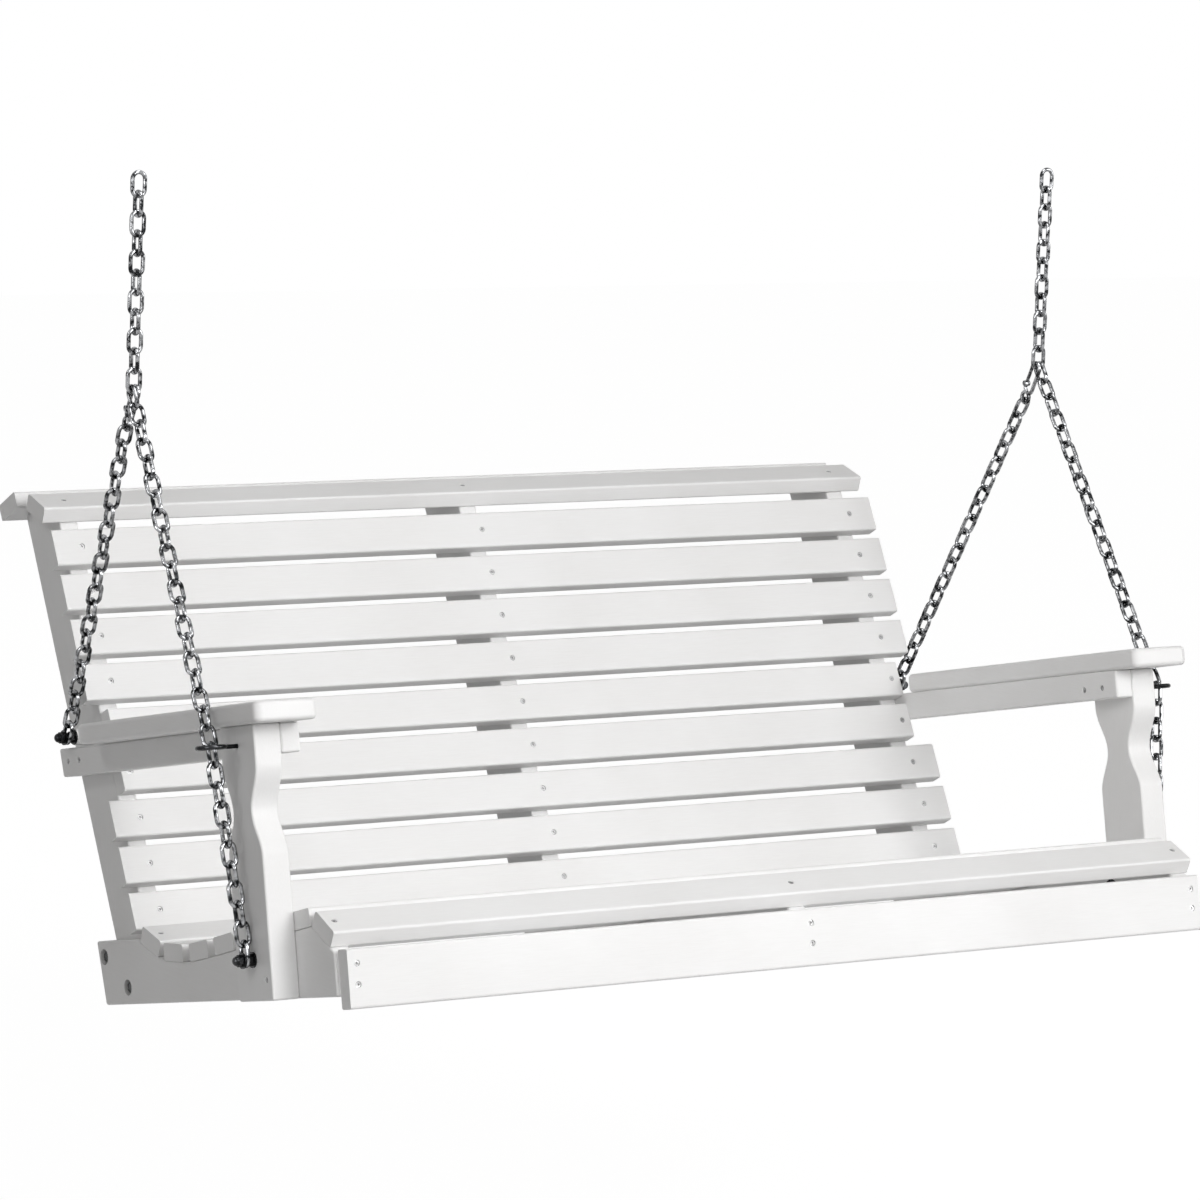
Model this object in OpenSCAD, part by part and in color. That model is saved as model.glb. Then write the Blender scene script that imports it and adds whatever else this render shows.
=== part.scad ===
// Porch swing seat: a slatted bench in white poly lumber that hangs from two chains.
//
// Two frames are used.
//   Row frame:  origin midway between the two hang loops, +X along the seat, +Y to the rear,
//               +Z up.  Pieces called left are on the -X side.
//   Seat frame: Y runs along the stringers, Z is square to them.  It is tipped back by `recline`
//               about the V junction of the chains, because that is how the seat hangs.

/* [Slats] */
// Overall length of the slats, which is also the width over the outer stringers
slat_len = 1317; // [900:1:1900]
// Width of a slat
slat_w = 51; // [44:0.5:55]
// Thickness of a slat
slat_t = 23; // [18:0.5:26]
// Radius on the long edges of a slat
edge_r = 3.2; // [1:0.1:5]
// How many slats the back has
back_slats = 9; // [7:1:9]
// Distance from one back slat to the next
back_pitch = 63.5; // [58:0.5:66]
// Gap between two seat slats on the flat part of the seat
seat_gap = 17.5; // [8:0.5:24]
// Gap below the rearmost slat, which is turned up towards the back
roll_gap = 8.5; // [6:0.5:14]
// Gap between the lower edges of the front slat and the one behind it
nose_gap = 1.5; // [1:0.5:6]

/* [Frame boards] */
// Thickness of the stringers, back supports and arm rails
board_t = 27; // [20:0.5:34]
// Height of a stringer at its rear end
stringer_h = 84; // [72:1:100]
// Angle of the stringer's and the rail's rear cut from square
rear_cut = 10; // [0:1:15]
// Distance from the lowest back slat's middle to the stringer's top rear corner
stringer_tail = 110; // [100:1:130]
// Depth of a back support
support_d = 90; // [76:1:100]
// Lean of the back from square to the seat
back_lean = 16.8; // [10:0.1:22]
// Distance between the topmost slat's middle and the supports' square-cut top
support_above = 89.5; // [80:0.5:110]
// How far the roll slat stands proud of the supports' rear edge
roll_proud = 18; // [5:1:24]
// How far the cap slat's lower edge stands proud of the supports' front edge
cap_proud = 3.5; // [0:0.5:8]

/* [Apron] */
// Height of the apron board
apron_h = 73.5; // [60:0.5:90]
// Thickness of the apron board
apron_t = 22; // [18:0.5:28]
// How far the apron's ends stand back from the slats' ends
apron_inset = 5.5; // [0:0.5:12]
// How far the apron hangs below the stringers
apron_drop = 16; // [0:1:25]

/* [Arms] */
// Thickness of a front post
post_t = 38; // [30:0.5:45]
// Depth of a front post
post_d = 89; // [76:1:100]
// Distance from the apron's rear face to the post's front face
post_back = 93; // [70:1:130]
// Depth of the waist cut in each edge of a post
waist = 20; // [5:1:26]
// Height of the waist's lower end above the post's foot
waist_low = 178; // [150:1:190]
// Height of the waist's narrowest place above the post's foot
waist_mid = 234; // [215:1:245]
// Height of the waist's upper end above the post's foot
waist_high = 292; // [270:1:300]
// Height of an arm rail
rail_h = 38; // [30:1:50]
// Height of the arm rail's underside above the stringers' underside
rail_up = 303; // [300:1:330]
// Length of an arm rail along its upper edge
rail_len = 613; // [600:1:640]
// Width of an armrest board
armrest_w = 89; // [80:1:120]
// Thickness of an armrest board
armrest_t = 26; // [20:0.5:32]
// Length of an armrest board
armrest_len = 541; // [500:1:548]
// How far the armrest stands in front of the post
armrest_nose = 50; // [20:1:70]
// How far the armrest's inner edge stands inside the arm rail
armrest_in = 2; // [0:0.5:10]
// Radius of the armrest's outer rear corner
armrest_sweep = 76; // [20:1:76]
// Radius of the armrest's other corners
armrest_corner = 12; // [4:1:20]

/* [Screws] */
// Diameter of a screw's head
head_d = 8; // [6:0.5:10]
// Height of a screw's head
head_h = 2.6; // [2:0.1:4]
// How deep a screw's head lies below the surface, top of the head
head_sink = 1.2; // [0.4:0.1:3]
// Diameter of a screw's shank
screw_d = 4.2; // [3:0.1:5]
// How far a screw reaches below the board that it holds
screw_bite = 24; // [15:1:26]
// Radial clearance round a screw's head and shank
screw_gap = 0.15; // [0.1:0.05:0.3]
// Distance of a slat's end screws from the slat's end
screw_inset = 40.5; // [34:0.5:46]
// Heights of the apron's screws above its lower edge
apron_screws_up = [29.5, 55.5];
// How far the apron's end screws stand inside the stringers' middle
apron_screw_in = 5; // [0:0.5:6]
// Places of the rail's screws into the post, behind the post's front face
rail_post_at = [33, 73];
// Places of its screws into the support, in front of the rail's rear end
rail_support_at = [24, 56];
// How far the latter lie above the former
rail_screw_step = 5; // [0:1:8]
// Places of the armrest's screws into the post and into the rail, behind the post's front face
armrest_post_at = [24, 66];
armrest_rail_at = [200, 330];
// Place of the post's foot screw, behind its front face and above its foot
post_foot_at = [14, 26];

/* [Bolts] */
// Diameter of the frame and anchor bolts
bolt_d = 8; // [6:0.5:10]
// Width across flats of their heads and nuts
bolt_af = 13; // [10:0.5:16]
// Diameter of a washer
washer_d = 20; // [17:0.5:22]
// Thickness of a washer
washer_t = 2; // [1.5:0.1:2.5]
// Diameter of the counterbore for a frame bolt's head
bore_d = 21; // [20.5:0.5:26]
// Depth of that counterbore
bore_deep = 8.5; // [6:0.5:12]
// Places of the rear and the front frame bolt, behind the slats' front face and above the
// stringers' underside
bolt_rear_at = [90, 63];
bolt_front_at = [29, 22];
// Radial clearance of a bolt in its hole
bolt_gap = 0.3; // [0.1:0.05:0.5]
// Distance of the rear anchor bolt from the support's front edge
anchor_inset = 36.5; // [20:0.5:50]
// Distance of the rear anchor bolt above the lowest slat's middle, along the support
anchor_up = 262.5; // [262:0.5:270]
// Length of the spacer that carries the rear chain past the slats' ends
spacer_len = 26; // [25.5:0.5:40]
// Diameter of that spacer
spacer_d = 22; // [20:0.5:26]

/* [Chain] */
// Diameter of the chain's wire
wire = 5.5; // [4:0.1:6]
// Inside length of a link
link_in = 24.9; // [23:0.1:28]
// Outside width of a link
link_w = 23; // [22.8:0.1:24]
// Play where two links touch
play = 0.1; // [0.05:0.05:0.3]
// Links from the hang loop to the V junction, both counted; an odd number
upper_links = 11; // [7:2:17]
// Links from the V junction to the guide eye
front_links = 20; // [19:1:21]
// Links from the guide eye to the front anchor
lower_links = 11; // [10:1:11]
// Links from the snap hook to the rear anchor
rear_links = 20; // [19:1:21]
// How far the V junction stands outside the posts
hang_out = 13.5; // [8:0.5:20]
// Sideways distance between the front link and the snap hook on the junction link
hook_split = 5.8; // [5.75:0.05:6]
// Height of the guide eye above the stringers' underside
eye_up = 316; // [312:1:325]
// Radius of the guide eye's ring, to the middle of its wire
eye_r = 17; // [16:0.5:20]
// Wire of the guide eye
eye_wire = 6; // [4:0.5:7]
// Extra play of the link below the guide eye, where the run bends
eye_slack = 0.15; // [0.1:0.05:0.3]
// Length of the guide eye's neck between the post and the ring
eye_neck = 16.5; // [16:0.5:22]
// How far the guide eye's thread goes into the post
eye_bite = 30; // [15:1:34]

/* [Snap hooks] */
// Inside length of a snap hook's loop
snap_in = 42; // [40:1:54]
// Wire of a snap hook
snap_wire = 5.6; // [5:0.1:6]
// Radius of the loop's ends, to the middle of the wire
snap_r = 8.2; // [8:0.1:10]
// Hole of the eye at the hook's lower end
snap_eye = 10; // [9:0.5:12]
// Length of the gate
gate_len = 26; // [22:0.5:28]
// Diameter of the gate
gate_d = 5; // [4:0.1:5.4]

/* [Hang] */
// How far the seat hangs tipped back
recline = 12.26; // [8:0.01:16]

/* [Hidden] */
$fn = 48;
eps = 0.01;
sides = [-1, 1];
side_names = ["left", "right"];

// Planes across the width, measured from the middle
side_x = slat_len / 2;
inner_x = side_x - board_t;
screw_x = side_x - screw_inset;
centre_stringer_x = board_t;

// Heights in the seat frame; zero is the lowest back slat's middle, on its front face
stringer_top = -36.4;
foot_z = stringer_top - stringer_h;
rail_z = foot_z + rail_up;
armrest_z = rail_z + rail_h;
back_top = (back_slats - 1) * back_pitch;
support_top = back_top + support_above;
support_rear = slat_t + support_d;

// Seat line: the slope of each seat slat's top, front to rear, positive where it rises rearwards
seat_slopes = [33, -6, -7, -7.5, -6.5, -5, 4, 24];
seat_slats = len(seat_slopes);
seat_front = [-532, -41.5];
function dir(a) = [cos(a), sin(a)];
function slat_gap(k) = k == seat_slats - 2 ? roll_gap : k > 0 ? seat_gap
    : nose_gap + 2 * slat_t * tan((seat_slopes[0] - seat_slopes[1]) / 2);
// Upper front edge of seat slat k: the slats before it and their gaps, end to end
function seat_edge(k) = k == 0 ? seat_front :
    seat_edge(k - 1) + slat_w * dir(seat_slopes[k - 1])
    + slat_gap(k - 1) * dir((seat_slopes[k - 1] + seat_slopes[k]) / 2);
// A point of seat slat k: `along` its top from the front edge and `down` from the top
function seat_point(k, along, down) = seat_edge(k) + along * dir(seat_slopes[k])
    + down * dir(seat_slopes[k] - 90);

// Front faces of the apron and the posts
roll_foot = seat_point(0, 0, slat_t);
stringer_front = roll_foot[0] - 8.5;
apron_y = stringer_front - apron_t;
apron_z = foot_z - apron_drop;
post_y = stringer_front + post_back;
post_mid_y = post_y + post_d / 2;
post_h = armrest_z - foot_z;
post_out = side_x + post_t;
junction_x = post_out + hang_out;

// Frame bolts: two through each stringer and support, in the seat frame [y, z]
frame_bolt_yz = [for (p = [bolt_rear_at, bolt_front_at]) [p[0], foot_z + p[1]]];

// Chain: one link, and how links stack
link_r = (link_w - wire) / 2;
link_straight = link_in + 2 * wire - link_w;
pitch = link_in - play;
// From the middle of a neighbour's wire to the middle of a link that hangs on it
near = link_in / 2 - wire / 2 - play;
// From a link's middle to the middle of the wire at its end
reach = (link_in + wire) / 2;
// Height of the wires that share the junction link's bottom, above where one alone would lie,
// rounded up to a hundredth
share_up = ceil(100 * (link_r - wire
    - sqrt(max(0, pow(link_r - wire - play, 2) - pow(hook_split / 2, 2))))) / 100;

bolt_head = bolt_d * 0.66;
nut_h = bolt_d * 0.8;

// Anchors and guide eyes, seat frame
bolt_seat = washer_t + nut_h + play + wire / 2;
front_anchor_x = post_out + bolt_seat;
rear_anchor_x = inner_x + spacer_len + bolt_seat;
eye_x = post_out + eye_neck + eye_r + eye_wire / 2;
eye_z = foot_z + eye_up;
// The first link at the junction stands upright in the width; the rest of the run slants
front_first = near - share_up + reach;
front_rest = near + (front_links - 2) * pitch + reach;
// The last link of each chain lies flat between its washers; end_up is from its bolt to the
// middle of its upper wire
end_up = link_in + wire / 2 - bolt_d / 2 - play;
lower_run = 2 * near - eye_slack + (lower_links - 2) * pitch;
front_anchor_z = eye_z - end_up - sqrt(pow(lower_run, 2) - pow(eye_x - front_anchor_x, 2));
anchor_u = slat_t + anchor_inset;
rear_anchor = [anchor_u * cos(back_lean) + anchor_up * sin(back_lean),
               anchor_up * cos(back_lean) - anchor_u * sin(back_lean)];
// snap_top is the middle of the wire at the top of the snap hook, above the junction
snap_top = wire / 2 + snap_wire / 2 + play + share_up;
snap_bottom = snap_top - snap_in - snap_wire;
snap_eye_r = (snap_eye + snap_wire) / 2;
// From the junction down to the lower wire of the snap hook's eye, and from there to the middle
// of the first link.  The hook stands upright in the width too.
snap_end = 2 * snap_eye_r - snap_bottom;
snap_near = reach - (wire + snap_wire) / 2 - play;
rear_rest = snap_near + (rear_links - 2) * pitch + near;

// The V junction: where a front chain and a rear chain of these lengths meet
guide_yz = [post_mid_y, eye_z];
front_reach = front_first
    + sqrt(pow(front_rest, 2) - pow(junction_x + hook_split / 2 - eye_x, 2));
rear_reach = snap_end + end_up
    + sqrt(pow(rear_rest, 2) - pow(junction_x - hook_split / 2 - rear_anchor_x, 2));
base = rear_anchor - guide_yz;
base_len = norm(base);
base_dir = base / base_len;
foot_at = (pow(front_reach, 2) - pow(rear_reach, 2) + pow(base_len, 2)) / (2 * base_len);
rise = sqrt(pow(front_reach, 2) - pow(foot_at, 2));
junction = guide_yz + foot_at * base_dir + rise * [-base_dir[1], base_dir[0]];
drop = (upper_links - 1) * pitch + link_in + wire / 2;
// A run whose link count would leave its last link a quarter turn off is twisted evenly.  At
// the guide eye the upper link is flat across the seat, so that the bend turns about its wire.
front_twist = front_links % 2 == 1 ? 90 / (front_links - 1) : 0;
lower_twist = lower_links % 2 == 0 ? 90 / (lower_links - 1) : 0;
rear_twist = rear_links % 2 == 1 ? 90 / (rear_links - 1) : 0;

white = [0.93, 0.93, 0.93];
zinc = [0.62, 0.63, 0.65];

BACK_NODES = [for (k = [1:back_slats]) str("back_slat_", k)];
SEAT_NODES = [for (k = [1:seat_slats]) str("seat_slat_", k)];
function paired(name) = [for (s = side_names) str(name, "_", s)];

// ---------------------------------------------------------------- frames and small shapes

// Seat frame to row frame
module seat_frame()
    translate([0, 0, -drop]) rotate([-recline, 0, 0])
        translate([0, -junction[0], -junction[1]]) children();

// Back frame: Y runs into the back from the slats' front, Z up along the back
module back_frame() rotate([-back_lean, 0, 0]) children();

// Seat slat k's frame: Y along its top from the front edge, Z square to it
module seat_slat_frame(k)
    translate([0, seat_edge(k)[0], seat_edge(k)[1]]) rotate([seat_slopes[k], 0, 0]) children();

// Stands a YZ outline up as a board that starts at x and is t thick
module board(x, t) translate([x, 0, 0]) rotate([90, 0, 90]) linear_extrude(t) children();

// A bar along X with rounded long edges, its corner at Y = 0, Z = 0
module bar(len, w, h, r = edge_r)
    board(-len / 2, len) polygon(rounded([w, h], [r, r, r, r]));

// Outline of a rectangle with a radius for each corner, four steps to a round
function rounded(size, radii, steps = 4) = [
    for (c = [0:3]) let (
        at = [c == 0 || c == 3 ? radii[c] : size[0] - radii[c],
              c < 2 ? radii[c] : size[1] - radii[c]])
        for (i = [0:steps]) at + radii[c] * dir(180 + 90 * c + 90 * i / steps)];

// A hexagon prism along +Z, by its width across flats
module hex(af, h) cylinder(d = af / cos(30), h = h, $fn = 6);

// ---------------------------------------------------------------- screws

// A screw that points down -Z from a surface at Z = 0 through a board that is `through` thick
module screw(through) {
    translate([0, 0, -head_sink - head_h]) difference() {
        cylinder(d = head_d, h = head_h);
        translate([0, 0, head_h - 1.4]) cylinder(d = head_d * 0.42, h = 1.5);
    }
    translate([0, 0, -through - screw_bite]) cylinder(d = screw_d, h = through + screw_bite
        - head_sink - head_h + eps);
}
// The hole that the screw goes in, with room for its head
module screw_hole(through) {
    translate([0, 0, -head_sink - head_h]) cylinder(d = head_d + 2 * screw_gap, h = 20);
    translate([0, 0, -through - screw_bite - 1])
        cylinder(d = screw_d + 2 * screw_gap, h = through + screw_bite + 2);
}

slat_screw_x = [-screw_x, 0, screw_x];
seat_screw_x = [-(side_x - board_t / 2), centre_stringer_x, side_x - board_t / 2];

// Children at every screw place of one back slat: -Z runs into the slat
module at_back_slat(k)
    back_frame() translate([0, 0, (back_slats - k) * back_pitch])
        for (x = slat_screw_x) translate([x, 0, 0]) rotate([90, 0, 0]) children();
module at_seat_slat(k)
    seat_slat_frame(k) for (x = seat_screw_x) translate([x, slat_w / 2, 0]) children();
module at_cap()
    cap_frame() for (x = slat_screw_x) translate([x, slat_w / 2, slat_t]) children();
module at_roll()
    roll_frame() for (x = slat_screw_x) translate([x, slat_w * 0.3, slat_t]) children();
apron_screw_x = side_x - board_t / 2 - apron_screw_in;
module at_apron()
    for (x = [-apron_screw_x, centre_stringer_x, apron_screw_x], z = apron_screws_up)
        translate([x, apron_y, apron_z + z]) rotate([90, 0, 0]) children();
// Rail screws into the post, driven from inside, and into the support, driven from outside
rail_screw_z = rail_z + rail_h * 0.4;
module at_rail_post(s)
    for (d = rail_post_at)
        translate([s * inner_x, post_y + d, rail_screw_z]) rotate([0, -90 * s, 0]) children();
module at_rail_support(s)
    for (d = rail_support_at)
        translate([s * side_x, rail_rear_y - d, rail_screw_z + rail_screw_step]) rotate([0, 90 * s, 0])
            children();
module at_armrest(s)
    for (d = armrest_post_at)
        translate([s * (side_x + post_t / 2), post_y + d, armrest_z + armrest_t]) children();
module at_armrest_rail(s)
    for (d = armrest_rail_at)
        translate([s * (side_x - board_t / 2), post_y + d, armrest_z + armrest_t]) children();
module at_post_foot(s)
    translate([s * post_out, post_y + post_foot_at[0], foot_z + post_foot_at[1]])
        rotate([0, 90 * s, 0]) children();

// ---------------------------------------------------------------- slats

function is_short(k) = let (z = (back_slats - k) * back_pitch * cos(back_lean),
    half = slat_w / 2 * cos(back_lean) + slat_t * sin(back_lean) + 1)
    z + half > rail_z && z - half < armrest_z;
// Slats that would meet the arm rails stop at the supports' outer faces
module back_slat(k)
    color(white) seat_frame() difference() {
        back_frame() translate([0, 0, (back_slats - k) * back_pitch - slat_w / 2])
            bar(is_short(k) ? 2 * inner_x : slat_len, slat_t, slat_w);
        at_back_slat(k) screw_hole(slat_t);
    }
module seat_slat(k)
    color(white) seat_frame() difference() {
        seat_slat_frame(k) translate([0, 0, -slat_t]) bar(slat_len, slat_w, slat_t);
        at_seat_slat(k) screw_hole(slat_t);
    }
// The cap slat lies on the supports' front bevel, the roll slat on their square-cut top
cap_tilt = 44;
cap_start = support_top - (support_rear - slat_t) * 0.505;
module cap_frame()
    back_frame() translate([0, slat_t, cap_start]) rotate([cap_tilt, 0, 0])
        translate([0, -cap_proud, 0]) children();
module roll_frame()
    back_frame() translate([0, support_rear + roll_proud - slat_w, support_top]) children();
module cap_slat()
    color(white) seat_frame() difference() {
        cap_frame() bar(slat_len, slat_w, slat_t);
        at_cap() screw_hole(slat_t);
    }
module roll_slat()
    color(white) seat_frame() difference() {
        roll_frame() bar(slat_len, slat_w, slat_t);
        at_roll() screw_hole(slat_t);
    }
module apron_board()
    color(white) seat_frame() difference() {
        translate([0, apron_y, apron_z]) bar(slat_len - 2 * apron_inset, apron_t, apron_h);
        at_apron() screw_hole(apron_t);
    }

// ---------------------------------------------------------------- stringers and supports

// The seat slats' undersides, front to rear
seat_bed = [for (k = [0:seat_slats - 1], a = [0, slat_w]) seat_point(k, a, slat_t)];
bed_front = seat_bed[0] + (stringer_front - seat_bed[0][0]) / cos(seat_slopes[0])
    * dir(seat_slopes[0]);
bed_rear = seat_bed[len(seat_bed) - 1];
stringer_outline = concat(
    [[stringer_front, foot_z], bed_front], seat_bed,
    [[bed_rear[0] + 8, stringer_top], [stringer_tail, stringer_top],
     [stringer_tail - stringer_h * tan(rear_cut), foot_z]]);

// Bolt holes along X, and for the outer stringers a counterbore from outside
module bolt_holes() for (p = frame_bolt_yz)
    translate([-side_x - 20, p[0], p[1]]) rotate([0, 90, 0])
        cylinder(d = bolt_d + 2 * bolt_gap, h = slat_len + 40);
module counterbores(s) for (p = frame_bolt_yz)
    translate([s * (side_x - bore_deep), p[0], p[1]]) rotate([0, 90 * s, 0])
        cylinder(d = bore_d, h = bore_deep + 5);
module anchor_hole(s)
    translate([s * (side_x - board_t - 5), post_mid_y, front_anchor_z])
        rotate([0, 90 * s, 0]) cylinder(d = bolt_d + 2 * bolt_gap, h = board_t + post_t + 10);

module stringer(s)
    color(white) seat_frame() difference() {
        board(s > 0 ? inner_x : -side_x, board_t) polygon(stringer_outline);
        bolt_holes();
        counterbores(s);
        anchor_hole(s);
        at_post_foot(s) screw_hole(post_t);
        for (k = [0:seat_slats - 1]) at_seat_slat(k) screw_hole(slat_t);
        at_apron() screw_hole(apron_t);
    }
module stringer_centre()
    color(white) seat_frame() difference() {
        board(centre_stringer_x - board_t / 2, board_t) polygon(stringer_outline);
        bolt_holes();
        for (k = [0:seat_slats - 1]) at_seat_slat(k) screw_hole(slat_t);
        at_apron() screw_hole(apron_t);
    }

// A support in the back frame: square-cut top, bevelled in front for the cap slat
bevel_end = slat_t + (support_top - cap_start) / tan(cap_tilt);
// Its foot is cut level with the stringers' underside
function support_foot(y) = [y, (foot_z + y * sin(back_lean)) / cos(back_lean)];
module support_outline() polygon([
    support_foot(slat_t), support_foot(support_rear), [support_rear, support_top],
    [bevel_end, support_top], [slat_t, cap_start]]);
module support_board(x)
    difference() {
        back_frame() board(x, board_t) support_outline();
        bolt_holes();
        for (k = [1:back_slats]) at_back_slat(k) screw_hole(slat_t);
        at_cap() screw_hole(slat_t);
        at_roll() screw_hole(slat_t);
    }
support_x = inner_x - board_t;
module back_support(s)
    color(white) seat_frame() difference() {
        support_board(s > 0 ? support_x : -inner_x);
        at_rail_support(s) screw_hole(board_t);
        translate([s * (support_x - 5), rear_anchor[0], rear_anchor[1]]) rotate([0, 90 * s, 0])
            cylinder(d = bolt_d + 2 * bolt_gap, h = board_t + 10);
    }
module back_support_centre() color(white) seat_frame() support_board(-board_t / 2);

// ---------------------------------------------------------------- arms

// How far the post's edge is cut in at height z: a long easy curve above the narrowest place
// and a short one below it
function ease(t) = (1 - cos(180 * t)) / 2;
function waist_cut(z) = waist * (z < waist_mid ? ease((z - waist_low) / (waist_mid - waist_low))
    : ease((waist_high - z) / (waist_high - waist_mid)));
waist_steps = 20;
waist_z = [for (i = [0:waist_steps]) waist_low + (waist_high - waist_low) * i / waist_steps];
post_outline = concat(
    [[0, 0]], [for (z = waist_z) [waist_cut(z), z]], [[0, post_h], [post_d, post_h]],
    [for (i = [waist_steps:-1:0]) [post_d - waist_cut(waist_z[i]), waist_z[i]]], [[post_d, 0]]);
module post(s)
    color(white) seat_frame() difference() {
        translate([0, post_y, foot_z]) board(s > 0 ? side_x : -post_out, post_t)
            polygon(post_outline);
        anchor_hole(s);
        translate([s * (post_out - eye_bite - 1), post_mid_y, eye_z]) rotate([0, 90 * s, 0])
            cylinder(d = eye_wire + 2 * screw_gap, h = eye_bite + 10);
        at_rail_post(s) screw_hole(board_t);
        at_armrest(s) screw_hole(armrest_t);
        at_post_foot(s) screw_hole(post_t);
    }

rail_rear_y = post_y + rail_len;
module arm_rail(s)
    color(white) seat_frame() difference() {
        board(s > 0 ? inner_x : -side_x, board_t) polygon([
            [post_y, rail_z], [post_y, armrest_z], [rail_rear_y, armrest_z],
            [rail_rear_y - rail_h * tan(rear_cut), rail_z]]);
        at_rail_post(s) screw_hole(board_t);
        at_rail_support(s) screw_hole(board_t);
        at_armrest_rail(s) screw_hole(armrest_t);
    }

armrest_y = post_y - armrest_nose;
armrest_x = inner_x - armrest_in;
// The outer rear corner's radius, kept short of the inner corner's
sweep_r = min(armrest_sweep, armrest_w - armrest_corner - 1);
module armrest(s)
    color(white) seat_frame() difference() {
        mirror([s < 0 ? 1 : 0, 0, 0]) translate([armrest_x, armrest_y, armrest_z])
            linear_extrude(armrest_t) polygon(rounded([armrest_w, armrest_len],
                [armrest_corner, armrest_corner, sweep_r, armrest_corner], steps = 9));
        at_armrest(s) screw_hole(armrest_t);
        at_armrest_rail(s) screw_hole(armrest_t);
    }

// ---------------------------------------------------------------- screw groups

module back_screws() color(zinc) seat_frame() {
    for (k = [1:back_slats]) at_back_slat(k) screw(slat_t);
    at_cap() screw(slat_t);
    at_roll() screw(slat_t);
}
module seat_screws() color(zinc) seat_frame()
    for (k = [0:seat_slats - 1]) at_seat_slat(k) screw(slat_t);
module apron_screws() color(zinc) seat_frame() at_apron() screw(apron_t);
module arm_screws() color(zinc) seat_frame() for (s = sides) {
    at_rail_post(s) screw(board_t);
    at_rail_support(s) screw(board_t);
    at_armrest(s) screw(armrest_t);
    at_armrest_rail(s) screw(armrest_t);
    at_post_foot(s) screw(post_t);
}

// ---------------------------------------------------------------- frame bolts

// Along +Z from the head's seat: a hex head behind it, a shank, and room for nut and washer
module bolt(grip, head) {
    translate([0, 0, -head]) hex(bolt_af, head);
    cylinder(d = bolt_d, h = grip);
}
module nut() difference() {
    hex(bolt_af, nut_h);
    translate([0, 0, -1]) cylinder(d = bolt_d + 0.1, h = nut_h + 2);
}
// A washer from Z = 0 up
module washer() difference() {
    cylinder(d = washer_d, h = washer_t);
    translate([0, 0, -1]) cylinder(d = bolt_d + 0.4, h = washer_t + 2);
}
frame_grip = 2 * board_t - bore_deep + washer_t + nut_h + 2;
module at_side_bolt(s) for (p = frame_bolt_yz)
    translate([s * (side_x - bore_deep), p[0], p[1]]) rotate([0, -90 * s, 0]) children();
module at_centre_bolt() for (p = frame_bolt_yz)
    translate([centre_stringer_x + board_t / 2, p[0], p[1]]) rotate([0, -90, 0]) children();
module frame_bolts() color(zinc) seat_frame() {
    for (s = sides) at_side_bolt(s) bolt(frame_grip, bolt_head);
    at_centre_bolt() bolt(2 * board_t + washer_t + nut_h + 2, bolt_head);
}
module frame_nuts() color(zinc) seat_frame() {
    for (s = sides) at_side_bolt(s) translate([0, 0, 2 * board_t - bore_deep]) {
        washer();
        translate([0, 0, washer_t]) nut();
    }
    at_centre_bolt() translate([0, 0, 2 * board_t]) {
        washer();
        translate([0, 0, washer_t]) nut();
    }
}

// ---------------------------------------------------------------- anchors and guide eyes

// Children along +Z outwards from the outer face that the anchor's inner washer seats on
module at_front_anchor(s)
    translate([s * post_out, post_mid_y, front_anchor_z]) rotate([0, 90 * s, 0]) children();
module at_rear_anchor(s)
    translate([s * (inner_x + spacer_len), rear_anchor[0], rear_anchor[1]])
        rotate([0, 90 * s, 0]) children();
module at_anchors() for (s = sides) {
    at_front_anchor(s) children();
    at_rear_anchor(s) children();
}
link_room = wire + 2 * play;
outer_washer = washer_t + nut_h + link_room;
nut_at = outer_washer + washer_t;
dome_h = bolt_d * 0.55;
anchor_end = nut_at + nut_h + dome_h;
module anchor_bolt(grip) translate([0, 0, -grip]) bolt(grip + anchor_end, bolt_head);
module anchor_bolts() color(zinc) seat_frame() for (s = sides) {
    at_front_anchor(s) anchor_bolt(board_t + post_t);
    at_rear_anchor(s) anchor_bolt(board_t + spacer_len);
}
module anchor_washers() color(zinc) seat_frame() at_anchors() {
    washer();
    translate([0, 0, outer_washer]) washer();
}
module anchor_spacers() color(white) seat_frame() for (s = sides) at_rear_anchor(s)
    translate([0, 0, -spacer_len]) difference() {
        cylinder(d = spacer_d, h = spacer_len);
        translate([0, 0, -1]) cylinder(d = bolt_d + 2 * bolt_gap, h = spacer_len + 2);
    }
// A hex nut with a domed end that closes over the bolt
module dome_nut() difference() {
    union() {
        hex(bolt_af, nut_h);
        intersection() {
            translate([0, 0, nut_h]) sphere(d = bolt_af - 0.4);
            cylinder(d = bolt_af, h = nut_h + bolt_af);
        }
    }
    translate([0, 0, -1]) cylinder(d = bolt_d + 0.1, h = nut_h + dome_h + 1.2);
}
module anchor_nuts() color(zinc) seat_frame() at_anchors() {
    translate([0, 0, washer_t]) nut();
    translate([0, 0, nut_at]) dome_nut();
}

module torus(r, d, a = 360) rotate_extrude(angle = a) translate([r, 0]) circle(d = d);
module guide_eye(s)
    color(zinc) seat_frame() translate([s * eye_x, post_mid_y, eye_z]) {
        torus(eye_r, eye_wire);
        rotate([0, -90 * s, 0]) translate([0, 0, eye_r])
            cylinder(d = eye_wire - 0.4, h = eye_x - eye_r - post_out + eye_bite);
    }

// ---------------------------------------------------------------- chain

// One link, centred, long way along Z and flat in the XZ plane
module link() {
    for (m = [0, 1]) mirror([0, 0, m]) translate([0, 0, link_straight / 2])
        rotate([90, 0, 0]) torus(link_r, wire, 180);
    for (x = [-link_r, link_r]) translate([x, 0, -link_straight / 2])
        cylinder(d = wire, h = link_straight);
}
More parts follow.
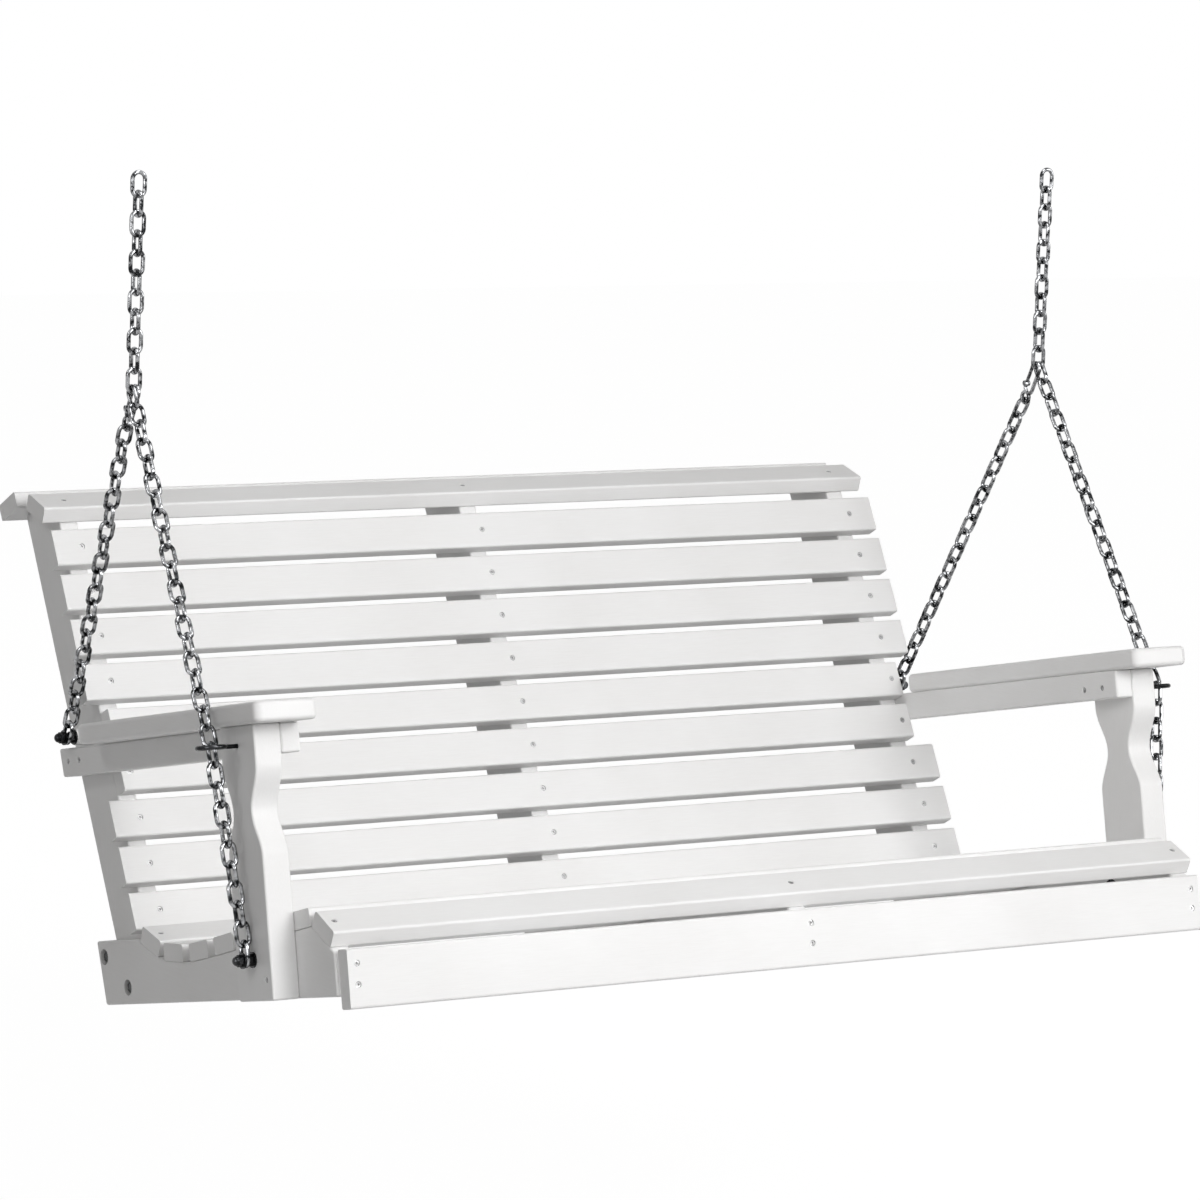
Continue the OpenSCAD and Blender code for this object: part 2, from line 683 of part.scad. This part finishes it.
// Links hung below the frame's origin, the first one's middle `first` below it; `turn` is the
// first link's roll and `twist` what each further link adds to its quarter turn
module chain(count, first, turn, twist = 0) for (i = [0:count - 1])
    translate([0, 0, -first - i * pitch]) rotate([0, 0, turn + (90 + twist) * i]) link();

// Upper chain, row frame: link i of the straight run, counted from the hang loop
module upper_run(s, from, to)
    translate([s * junction_x, 0, 0])
        chain(to - from + 1, link_in / 2 + from * pitch, 90 * (from % 2));

// Children in a frame whose origin is `from` and whose -Z points at `to`, seat frame
module aim(from, to) {
    d = to - from;
    translate(from) rotate([atan2(d[1], -d[2]), 0, 0])
        rotate([0, asin(-d[0] / norm(d)), 0]) children();
}
// The point `down` below the junction on the way to an anchor's [y, z], at x
function below(x, to, down) = let (at = junction + down * (to - junction) / norm(to - junction))
    [x, at[0], at[1]];
function front_hook(s, down = 0) = below(s * (junction_x + hook_split / 2), guide_yz, down);
function rear_hook(s, down = 0) = below(s * (junction_x - hook_split / 2), rear_anchor, down);
function guide_at(s) = [s * eye_x, post_mid_y, eye_z];
// Middle of the upper wire of each chain's last link
rear_up = (junction - rear_anchor) / norm(junction - rear_anchor);
function front_end(s) = [s * front_anchor_x, post_mid_y, front_anchor_z + end_up];
function rear_end(s) = [s * rear_anchor_x, rear_anchor[0] + end_up * rear_up[0],
    rear_anchor[1] + end_up * rear_up[1]];

module top_link(s) color(zinc) upper_run(s, 0, 0);
module second_link(s) color(zinc) upper_run(s, 1, 1);
module upper_chain(s) color(zinc) upper_run(s, 2, upper_links - 2);
module junction_link(s) color(zinc) upper_run(s, upper_links - 1, upper_links - 1);

// The last link, flat to the board, from the middle of its upper wire straight down -Z
module last_link() translate([0, 0, -reach]) rotate([0, 0, 90]) link();
module front_chain(s) color(zinc) seat_frame() {
    aim(front_hook(s), front_hook(s, front_first)) chain(1, near - share_up, 90);
    aim(front_hook(s, front_first), guide_at(s))
        chain(front_links - 1, near, 180 + front_twist, front_twist);
    aim(guide_at(s), front_end(s))
        chain(lower_links - 1, near - eye_slack, 90, lower_twist);
    translate(front_end(s)) last_link();
}
module rear_chain(s) color(zinc) seat_frame() {
    aim(rear_hook(s, snap_end), rear_end(s)) chain(rear_links - 1, snap_near, 0, rear_twist);
    translate(rear_end(s)) rotate([-atan2(rear_up[0], rear_up[1]), 0, 0]) last_link();
}

// ---------------------------------------------------------------- snap hooks

// The hook's own frame: -Z down the rear chain from the junction, loop flat in the YZ plane,
// the gate on the rear side.
gate_foot = snap_bottom + snap_r + 2;
gate_tip = gate_foot + gate_len;
hub_d = 8;
slot_w = 4.2;
module snap_frame(s)
    seat_frame() aim(rear_hook(s), rear_hook(s, snap_end)) children();
module snap_leg(y, from, to) translate([0, y, from]) cylinder(d = snap_wire, h = to - from);
module snap_hook(s)
    color(zinc) snap_frame(s) {
        difference() {
            union() {
                translate([0, 0, snap_top - snap_r]) rotate([0, -90, 0]) rotate([0, 0, -90])
                    torus(snap_r, snap_wire, 180);
                translate([0, 0, snap_bottom + snap_r]) rotate([0, 90, 0]) rotate([0, 0, -90])
                    torus(snap_r, snap_wire, 180);
                snap_leg(-snap_r, snap_bottom + snap_r, snap_top - snap_r);
                snap_leg(snap_r, gate_tip + 0.4, snap_top - snap_r);
                snap_leg(snap_r, snap_bottom + snap_r, gate_foot);
                translate([-hub_d / 2, snap_r, gate_foot]) rotate([0, 90, 0])
                    cylinder(d = hub_d, h = hub_d);
                translate([0, 0, snap_bottom - snap_eye_r]) rotate([0, 90, 0])
                    torus(snap_eye_r, snap_wire);
            }
            translate([-slot_w / 2, snap_r - hub_d, gate_foot - hub_d / 2 + 0.2])
                cube([slot_w, 2 * hub_d, 2 * hub_d]);
        }
        translate([-hub_d / 2, snap_r, gate_foot]) rotate([0, 90, 0])
            cylinder(d = 2.4, h = hub_d);
    }
module snap_gate(s)
    color(zinc) snap_frame(s) translate([0, snap_r, gate_foot]) difference() {
        union() {
            rotate([0, 90, 0]) translate([0, 0, -slot_w / 2 + 0.2])
                cylinder(d = hub_d - 1.4, h = slot_w - 0.4);
            intersection() {
                cylinder(d = gate_d, h = gate_len);
                translate([-slot_w / 2 + 0.2, -5, 0]) cube([slot_w - 0.4, 10, 6]);
            }
            translate([0, 0, 5]) cylinder(d = gate_d, h = gate_len - 5);
        }
        translate([-5, 0, 0]) rotate([0, 90, 0]) cylinder(d = 2.5, h = 10);
    }

// ---------------------------------------------------------------- the whole swing

module sided(name) for (i = [0, 1])
    union() {
        $side = sides[i];
        children();
    }
for (k = [1:back_slats]) back_slat(k);
for (k = [0:seat_slats - 1]) seat_slat(k);
cap_slat();
roll_slat();
apron_board();
sided("stringer") stringer($side);
stringer_centre();
sided("back_support") back_support($side);
back_support_centre();
sided("post") post($side);
sided("arm_rail") arm_rail($side);
sided("armrest") armrest($side);
back_screws();
seat_screws();
apron_screws();
arm_screws();
frame_bolts();
frame_nuts();
anchor_bolts();
anchor_washers();
anchor_nuts();
anchor_spacers();
sided("guide_eye") guide_eye($side);
sided("top_link") top_link($side);
sided("second_link") second_link($side);
sided("upper_chain") upper_chain($side);
sided("junction_link") junction_link($side);
sided("front_chain") front_chain($side);
sided("rear_chain") rear_chain($side);
sided("snap_hook") snap_hook($side);
sided("snap_gate") snap_gate($side);
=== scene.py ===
# %% [markdown]
# A porch swing seat in white poly lumber, hung on two chains.  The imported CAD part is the
# fixed frame: its slats, links and screws are already the right shape, so here they get their
# finishes, and the sawn boards get the eased edges that a router leaves on the real ones.

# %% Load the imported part
import math

import bmesh
import bpy
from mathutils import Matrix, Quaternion, Vector


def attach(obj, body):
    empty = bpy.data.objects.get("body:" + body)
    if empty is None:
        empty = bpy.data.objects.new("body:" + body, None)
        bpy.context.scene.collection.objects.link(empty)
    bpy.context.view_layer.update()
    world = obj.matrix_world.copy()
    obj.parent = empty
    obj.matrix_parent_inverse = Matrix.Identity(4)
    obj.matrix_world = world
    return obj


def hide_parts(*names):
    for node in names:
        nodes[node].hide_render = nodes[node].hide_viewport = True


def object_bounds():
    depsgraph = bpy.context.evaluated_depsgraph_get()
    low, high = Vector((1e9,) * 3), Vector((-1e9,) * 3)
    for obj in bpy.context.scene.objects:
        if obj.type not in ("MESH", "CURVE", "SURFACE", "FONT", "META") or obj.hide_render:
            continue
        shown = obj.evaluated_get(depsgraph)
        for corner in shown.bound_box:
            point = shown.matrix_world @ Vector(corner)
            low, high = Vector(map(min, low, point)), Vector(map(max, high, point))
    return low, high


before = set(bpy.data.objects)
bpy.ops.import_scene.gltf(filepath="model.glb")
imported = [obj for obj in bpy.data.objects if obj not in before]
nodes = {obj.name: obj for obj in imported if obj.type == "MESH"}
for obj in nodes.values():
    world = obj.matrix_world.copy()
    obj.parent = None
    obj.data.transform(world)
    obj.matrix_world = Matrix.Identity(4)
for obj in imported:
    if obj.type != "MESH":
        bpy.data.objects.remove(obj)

MM = 0.001
MERGE = 0.02 * MM
cad_box = [list(corner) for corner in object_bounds()]
print("CAD nodes:", len(nodes), "box:", [[round(v, 3) for v in c] for c in cad_box])

# %% [markdown]
# Node groups first.  Poly lumber is extruded and then lightly wire-brushed, so its skin has
# fine streaks along the board and a faint cloudiness.  One group makes both from Object
# coordinates; multiplying the coordinates by a small number along the board stretches the noise.

# %% A helper that wires nodes together
def make_group(name, inputs, outputs):
    group = bpy.data.node_groups.new(name, "ShaderNodeTree")
    for label, kind, value in inputs:
        socket = group.interface.new_socket(name=label, in_out="INPUT", socket_type=kind)
        socket.default_value = value
    for label, kind in outputs:
        group.interface.new_socket(name=label, in_out="OUTPUT", socket_type=kind)
    return group, group.nodes.new("NodeGroupInput"), group.nodes.new("NodeGroupOutput")


def add(tree, kind, **values):
    node = tree.nodes.new(kind)
    for key, value in values.items():
        if hasattr(node, key):
            setattr(node, key, value)
        else:
            node.inputs[key.replace("_", " ")].default_value = value
    return node


# %% The board skin: streaks along the length, cloudiness, and a height for the bump
def board_skin():
    group, given, out = make_group(
        "board_skin",
        [("Stretch", "NodeSocketVector", (1.0, 1.0, 1.0)), ("Cloud", "NodeSocketFloat", 3.0)],
        [("Tone", "NodeSocketFloat"), ("Height", "NodeSocketFloat")],
    )
    place = add(group, "ShaderNodeTexCoord")
    stretch = add(group, "ShaderNodeVectorMath", operation="MULTIPLY")
    streaks = add(group, "ShaderNodeTexNoise", Scale=900.0, Detail=3.0, Roughness=0.6)
    cloud = add(group, "ShaderNodeTexNoise", Detail=2.0, Roughness=0.5)
    pebble = add(group, "ShaderNodeTexNoise", Scale=700.0, Detail=2.0)
    mix = add(group, "ShaderNodeMath", operation="MULTIPLY_ADD")
    mix.inputs[1].default_value = 0.35
    height = add(group, "ShaderNodeMath", operation="MULTIPLY_ADD")
    height.inputs[1].default_value = 0.4
    link = group.links.new
    link(place.outputs["Object"], stretch.inputs[0])
    link(given.outputs["Stretch"], stretch.inputs[1])
    link(stretch.outputs[0], streaks.inputs["Vector"])
    link(place.outputs["Object"], cloud.inputs["Vector"])
    link(given.outputs["Cloud"], cloud.inputs["Scale"])
    link(place.outputs["Object"], pebble.inputs["Vector"])
    link(streaks.outputs[0], mix.inputs[0])
    half = add(group, "ShaderNodeMath", operation="MULTIPLY")
    half.inputs[1].default_value = 0.65
    link(cloud.outputs[0], half.inputs[0])
    link(half.outputs[0], mix.inputs[2])
    link(mix.outputs[0], out.inputs["Tone"])
    link(pebble.outputs[0], height.inputs[0])
    link(streaks.outputs[0], height.inputs[2])
    link(height.outputs[0], out.inputs["Height"])
    return group


# %% The metal skin: soft patches of tarnish and of painted glint, and fine dents
def metal_skin():
    group, given, out = make_group(
        "metal_skin",
        [("Patch", "NodeSocketFloat", 90.0)],
        [("Tarnish and painted glint", "NodeSocketFloat"), ("Dent", "NodeSocketFloat")],
    )
    place = add(group, "ShaderNodeTexCoord")
    patch = add(group, "ShaderNodeTexNoise", Detail=3.0, Roughness=0.6)
    dent = add(group, "ShaderNodeTexNoise", Scale=420.0, Detail=2.0)
    link = group.links.new
    link(place.outputs["Object"], patch.inputs["Vector"])
    link(given.outputs["Patch"], patch.inputs["Scale"])
    link(place.outputs["Object"], dent.inputs["Vector"])
    link(patch.outputs[0], out.inputs["Tarnish and painted glint"])
    link(dent.outputs[0], out.inputs["Dent"])
    return group


BOARD_SKIN = board_skin()
METAL_SKIN = metal_skin()

# %% [markdown]
# A material reads a group's tone through colour ramps, and its height through a Bump node.
# The Principled shader itself stays in the material.


# %% Material builders
def ramp(tree, source, stops):
    node = tree.nodes.new("ShaderNodeValToRGB")
    for index, (at, colour) in enumerate(stops):
        stop = node.color_ramp.elements[index]
        stop.position = at
        stop.color = (*colour, 1.0)
    tree.links.new(source, node.inputs[0])
    return node.outputs[0]


def new_material(name):
    material = bpy.data.materials.new(name)
    material.use_nodes = True
    return material, material.node_tree, material.node_tree.nodes["Principled BSDF"]


def bump(tree, height, strength, distance):
    node = add(tree, "ShaderNodeBump", Strength=strength, Distance=distance)
    tree.links.new(height, node.inputs["Height"])
    return node.outputs[0]


def board_material(name, along):
    material, tree, shader = new_material(name)
    skin = tree.nodes.new("ShaderNodeGroup")
    skin.node_tree = BOARD_SKIN
    skin.inputs["Stretch"].default_value = [0.04 if axis == along else 1.0 for axis in "XYZ"]
    skin.inputs["Cloud"].default_value = 5.0
    colour = ramp(tree, skin.outputs["Tone"], [(0.3, (0.79, 0.785, 0.78)), (0.7, (0.86, 0.86, 0.86))])
    rough = ramp(tree, skin.outputs["Tone"], [(0.3, (0.5,) * 3), (0.7, (0.38,) * 3)])
    tree.links.new(colour, shader.inputs["Base Color"])
    tree.links.new(rough, shader.inputs["Roughness"])
    tree.links.new(bump(tree, skin.outputs["Height"], 0.16, 0.0004), shader.inputs["Normal"])
    shader.inputs["Specular IOR Level"].default_value = 0.35
    return material


def metal_material(name, dark, light, rough_low, rough_high, patch):
    material, tree, shader = new_material(name)
    skin = tree.nodes.new("ShaderNodeGroup")
    skin.node_tree = METAL_SKIN
    skin.inputs["Patch"].default_value = patch
    # The patches become dark and light base colour: on the chain this is painted glint and painted dark
    # reflection, on the screws and bolts tone that differs at random.
    colour = ramp(tree, skin.outputs["Tarnish and painted glint"], [(0.4, dark), (0.6, light)])
    rough = ramp(tree, skin.outputs["Tarnish and painted glint"], [(0.35, (rough_high,) * 3), (0.65, (rough_low,) * 3)])
    tree.links.new(colour, shader.inputs["Base Color"])
    tree.links.new(rough, shader.inputs["Roughness"])
    tree.links.new(bump(tree, skin.outputs["Dent"], 0.12, 0.0003), shader.inputs["Normal"])
    shader.inputs["Metallic"].default_value = 1.0
    return material


# %% The finishes of this swing
ALONG_SEAT = board_material("poly_board_across", "X")
ALONG_DEPTH = board_material("poly_board_front_to_back", "Y")
UPRIGHT = board_material("poly_board_upright", "Z")
# On the chain the patches are painted reflection. The near-black patches paint dark surroundings
# mirrored in the zinc, and the lighter ones paint glints beside the real streaks from the lamps.
CHAIN_ZINC_PAINTED_GLINT = metal_material("chain_zinc_painted_glint", (0.012, 0.013, 0.014), (0.36, 0.365, 0.375), 0.08, 0.2, 120.0)
# The bolt finish is painted near-black. It paints the shade of the bored bolt recesses, and the nuts,
# washers and guide eye take it too.
BOLT_ZINC_PAINTED_SHADE = metal_material("bolt_zinc_painted_shade", (0.008, 0.0085, 0.009), (0.04, 0.041, 0.043), 0.2, 0.36, 60.0)
SCREW_STEEL = metal_material("screw_steel", (0.26, 0.26, 0.26), (0.46, 0.46, 0.46), 0.38, 0.55, 200.0)
print("finishes:", ALONG_SEAT.name, ALONG_DEPTH.name, UPRIGHT.name, CHAIN_ZINC_PAINTED_GLINT.name)

# %% [markdown]
# Each CAD node takes the finish of what it is: slats run across the seat, rails and stringers
# from front to back, posts and supports upright, and the rest is metal.


# %% Which finish a node takes
def finish_for(name):
    if "screws" in name:
        return SCREW_STEEL
    # Bolts, nuts, washers and the guide eye get the near-black finish that paints recess shade.
    if any(word in name for word in ("bolts", "nuts", "washers", "guide_eye")):
        return BOLT_ZINC_PAINTED_SHADE
    if any(word in name for word in ("link", "chain", "snap")):
        return CHAIN_ZINC_PAINTED_GLINT
    if any(word in name for word in ("stringer", "rail", "armrest")):
        return ALONG_DEPTH
    if any(word in name for word in ("post", "support")):
        return UPRIGHT
    return ALONG_SEAT


def dress(thing, material):
    slots = thing.data.materials
    if len(slots) == 0:
        slots.append(material)
    for index in range(len(slots)):
        slots[index] = material


for name, thing in nodes.items():
    dress(thing, finish_for(name))
print("dressed", len(nodes), "nodes")

# %% [markdown]
# The posts, rails, armrests, stringers and supports are sawn boards whose long edges were run
# over a small round-over bit.  Their CAD solids have sharp edges.  One way is a Bevel
# modifier, but it would also round the rims of the screw holes.  So a copy of the mesh is
# merged, its sharp edges are sorted into connected rims, and only the long rims are bevelled.

# %% Sort a mesh's sharp edges into connected rims
SHARP = math.radians(35)
SHORTEST_RIM = 100 * MM


def long_rims(mesh):
    sharp = [e for e in mesh.edges if len(e.link_faces) == 2 and e.calc_face_angle(0) > SHARP]
    waiting, chosen = set(sharp), []
    while waiting:
        rim, front = [], [waiting.pop()]
        while front:
            edge = front.pop()
            rim.append(edge)
            for vert in edge.verts:
                for other in vert.link_edges:
                    if other in waiting:
                        waiting.discard(other)
                        front.append(other)
        if sum(e.calc_length() for e in rim) > SHORTEST_RIM:
            chosen += rim
    return chosen


# %% Make a board with eased edges from a CAD node
def eased_board(node_name, radius, segments=3):
    source = nodes[node_name]
    mesh = bmesh.new()
    mesh.from_mesh(source.data)
    bmesh.ops.remove_doubles(mesh, verts=mesh.verts, dist=MERGE)
    bmesh.ops.dissolve_limit(
        mesh, angle_limit=math.radians(0.5), verts=mesh.verts, edges=mesh.edges
    )
    rims = long_rims(mesh)
    bmesh.ops.bevel(
        mesh, geom=rims, offset=radius, offset_type="OFFSET", segments=segments, profile=0.5,
        affect="EDGES", clamp_overlap=True, material=-1,
    )
    for face in mesh.faces:
        face.smooth = True
    for edge in mesh.edges:
        edge.smooth = len(edge.link_faces) == 2 and edge.calc_face_angle(0) < SHARP
    data = bpy.data.meshes.new(node_name + "_board")
    mesh.to_mesh(data)
    mesh.free()
    board = bpy.data.objects.new(node_name + "_board", data)
    bpy.context.scene.collection.objects.link(board)
    weigh = board.modifiers.new("weigh", "WEIGHTED_NORMAL")
    weigh.keep_sharp = True
    dress(board, finish_for(node_name))
    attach(board, "seat")
    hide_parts(node_name)
    print(node_name, "rim edges", len(rims), "faces", len(data.polygons))
    return board


# %% Ease every sawn board
EASE = 3.0 * MM
ARM_EASE = 6.0 * MM
for side in ("left", "right"):
    eased_board("armrest_" + side, ARM_EASE, 5)
    eased_board("post_" + side, EASE)
    eased_board("arm_rail_" + side, EASE)
for place in ("left", "centre", "right"):
    eased_board("stringer_" + place, EASE)
    eased_board("back_support_" + place, EASE)

# %% [markdown]
# The bolts of the outer stringers sit in bored recesses that look dark at the bottom.  The CAD
# part has plain hex heads there, so a thin flange is added under each, as a guess at a washer;
# it wears the near-black bolt finish, so it is also a dark sheet of painted shade at the bottom
# of each recess.  Each bolt is a loose part of one mesh, so the loose parts are found first; a
# bolt's middle and its outer end then say where its flange goes.

# %% Flanges under the recessed bolt heads, near-black as painted recess shade
HEAD_HEIGHT = 5.28 * MM
FLANGE_INNER, FLANGE_OUTER, FLANGE_THICK = 7.4 * MM, 10.3 * MM, 1.0 * MM
FLANGE_STEPS = 48
OUTER_STRINGERS = 500 * MM


def loose_parts(node_name):
    mesh = bmesh.new()
    mesh.from_mesh(nodes[node_name].data)
    bmesh.ops.remove_doubles(mesh, verts=mesh.verts, dist=MERGE)
    waiting, parts = set(mesh.verts), []
    while waiting:
        part, front = [], [waiting.pop()]
        while front:
            vert = front.pop()
            part.append(nodes[node_name].matrix_world @ vert.co)
            for edge in vert.link_edges:
                other = edge.other_vert(vert)
                if other in waiting:
                    waiting.discard(other)
                    front.append(other)
        parts.append(part)
    mesh.free()
    return parts


rings = bmesh.new()
for part in loose_parts("frame_bolts"):
    low, high = [[pick(v[axis] for v in part) for axis in range(3)] for pick in (min, max)]
    side = 1 if low[0] + high[0] > 0 else -1
    end = high[0] if side > 0 else low[0]
    if abs(end) < OUTER_STRINGERS:
        continue
    middle = Vector((0, (low[1] + high[1]) / 2, (low[2] + high[2]) / 2))
    seat = end - side * HEAD_HEIGHT
    top = seat + side * FLANGE_THICK
    corners = [(seat, FLANGE_INNER), (seat, FLANGE_OUTER), (top, FLANGE_OUTER), (top, FLANGE_INNER)]
    verts = [rings.verts.new(middle + Vector((x, 0, r))) for x, r in corners]
    edges = [rings.edges.new((verts[i], verts[(i + 1) % 4])) for i in range(4)]
    bmesh.ops.spin(
        rings, geom=verts + edges, cent=middle, axis=(1, 0, 0), angle=math.tau, steps=FLANGE_STEPS
    )
bmesh.ops.remove_doubles(rings, verts=rings.verts, dist=0.01 * MM)
bmesh.ops.recalc_face_normals(rings, faces=rings.faces)
flange_mesh = bpy.data.meshes.new("bolt_flanges_painted_shade")
rings.to_mesh(flange_mesh)
rings.free()
flanges = bpy.data.objects.new("bolt_flanges_painted_shade", flange_mesh)
bpy.context.scene.collection.objects.link(flanges)
dress(flanges, BOLT_ZINC_PAINTED_SHADE)
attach(flanges, "seat")
print("flange faces", len(flange_mesh.polygons))

# %% [markdown]
# The floor is only a stage.  The camera and mirror-like metal see it as plain white, apart
# from the object's faint shadow, while the diffuse light from it stays soft.

# %% A floor finish that looks white and still takes a faint shadow
def white_stage(name, tint, shadow):
    material, tree, shader = new_material(name)
    shader.inputs["Base Color"].default_value = (tint, tint, tint, 1.0)
    shader.inputs["Roughness"].default_value = 0.9
    glow = add(tree, "ShaderNodeEmission", Strength=1.26)
    rays = tree.nodes.new("ShaderNodeLightPath")
    looks = add(tree, "ShaderNodeMath", operation="MAXIMUM")
    share = add(tree, "ShaderNodeMath", operation="MULTIPLY")
    share.inputs[1].default_value = 1.0 - shadow
    blend = tree.nodes.new("ShaderNodeMixShader")
    tree.links.new(rays.outputs["Is Camera Ray"], looks.inputs[0])
    tree.links.new(rays.outputs["Is Glossy Ray"], looks.inputs[1])
    tree.links.new(looks.outputs[0], share.inputs[0])
    tree.links.new(share.outputs[0], blend.inputs[0])
    tree.links.new(shader.outputs[0], blend.inputs[1])
    tree.links.new(glow.outputs[0], blend.inputs[2])
    tree.links.new(blend.outputs[0], tree.nodes["Material Output"].inputs["Surface"])
    return material


# %% Stage: a pale floor well below the hanging seat
FLOOR_DROP = 0.42
FLOOR_HALF = 14.0
floor_level = cad_box[0][2] - FLOOR_DROP
plate = bmesh.new()
bmesh.ops.create_grid(plate, x_segments=1, y_segments=1, size=FLOOR_HALF)
bmesh.ops.translate(plate, vec=(0, 0, floor_level), verts=plate.verts)
floor_mesh = bpy.data.meshes.new("floor")
plate.to_mesh(floor_mesh)
plate.free()
floor = bpy.data.objects.new("floor", floor_mesh)
bpy.context.scene.collection.objects.link(floor)
floor.data.materials.append(white_stage("floor_white", 0.5, 0.25))

# %% World: white to the eye and to metal, and a gentle light on the boards
world = bpy.data.worlds.new("studio")
bpy.context.scene.world = world
world.use_nodes = True
wires = world.node_tree
seen = wires.nodes["Background"]
seen.inputs["Color"].default_value = (1.0, 1.0, 1.0, 1.0)
seen.inputs["Strength"].default_value = 1.0

# The soft light comes from the front half of the room; the rear half is dimmer.
SOFT_FRONT = (0.33, 0.325, 0.32)
SOFT_REAR = (0.12, 0.118, 0.115)
across = wires.nodes.new("ShaderNodeSeparateXYZ")
place = wires.nodes.new("ShaderNodeTexCoord")
depth = add(wires, "ShaderNodeMapRange")
depth.inputs["From Min"].default_value = 0.0
depth.inputs["From Max"].default_value = 0.45
soft = wires.nodes.new("ShaderNodeBackground")
shades = ramp(wires, depth.outputs[0], [(0.0, SOFT_FRONT), (1.0, SOFT_REAR)])
rays = wires.nodes.new("ShaderNodeLightPath")
eye_or_metal = add(wires, "ShaderNodeMath", operation="MAXIMUM")
white_for = add(wires, "ShaderNodeMath", operation="MAXIMUM")
choose = wires.nodes.new("ShaderNodeMixShader")
wires.links.new(place.outputs["Generated"], across.inputs[0])
wires.links.new(across.outputs["Y"], depth.inputs["Value"])
wires.links.new(shades, soft.inputs["Color"])
wires.links.new(rays.outputs["Is Camera Ray"], eye_or_metal.inputs[0])
wires.links.new(rays.outputs["Is Glossy Ray"], eye_or_metal.inputs[1])
wires.links.new(eye_or_metal.outputs[0], white_for.inputs[0])
wires.links.new(rays.outputs["Is Transmission Ray"], white_for.inputs[1])
wires.links.new(white_for.outputs[0], choose.inputs[0])
wires.links.new(soft.outputs[0], choose.inputs[1])
wires.links.new(seen.outputs[0], choose.inputs[2])
wires.links.new(choose.outputs[0], wires.nodes["World Output"].inputs["Surface"])

# %% [markdown]
# Three lamps light the boards: a key from the front, a fill that reaches the inside of the far
# arm, and a side lamp from the upper left, which lets the armrest shade the rail below it.
# The chain's zinc has a painted dark base and painted patches of glint, so three more lamps work on
# gloss
# alone: they put the white streaks along each link and leave the boards as they are.


# %% Lamps
def area_lamp(name, size, power, place, target, gloss_only=False):
    lamp = bpy.data.lights.new(name, "AREA")
    lamp.shape, lamp.size, lamp.energy = "SQUARE", size, power
    holder = bpy.data.objects.new(name, lamp)
    bpy.context.scene.collection.objects.link(holder)
    holder.location = place
    aim = Vector(target) - Vector(place)
    holder.rotation_euler = aim.to_track_quat("-Z", "Y").to_euler()
    holder.visible_diffuse = not gloss_only
    return holder


MIDDLE = (0.0, 0.0, -0.8)
area_lamp("key", 2.6, 288.0, (1.6, -8.2, 2.6), MIDDLE)
area_lamp("fill", 1.2, 20.0, (-0.35, -2.1, 0.5), (0.5, 0.0, -0.8))
area_lamp("side", 0.9, 20.0, (-4.5, -1.2, 2.2), (-0.7, 0.0, -0.7))
area_lamp("streak_left", 2.4, 150.0, (-5.5, -3.0, 0.6), MIDDLE, gloss_only=True)
area_lamp("streak_right", 2.4, 150.0, (4.5, -4.5, 0.8), MIDDLE, gloss_only=True)
area_lamp("streak_top", 2.0, 90.0, (0.0, -1.2, 3.2), MIDDLE, gloss_only=True)

# %% [markdown]
# The camera stands a good seven metres off to the front left, a little above the seat, with a
# long lens, so that the slats' lines stay nearly parallel.

# %% Camera
CAMERA_AT = (-3.95986, -6.25150, 0.46085)
CAMERA_TURN = Quaternion((0.7282591, 0.6269937, -0.1943002, -0.1968883))
LENS_MM = 167.325
camera_data = bpy.data.cameras.new("camera")
camera_data.lens, camera_data.sensor_width = LENS_MM, 36.0
camera = bpy.data.objects.new("camera", camera_data)
bpy.context.scene.collection.objects.link(camera)
camera.location = CAMERA_AT
camera.rotation_euler = CAMERA_TURN.to_euler()
bpy.context.scene.camera = camera
bpy.context.scene.view_settings.view_transform = "Standard"
print("camera", camera.location[:], "lens", LENS_MM)
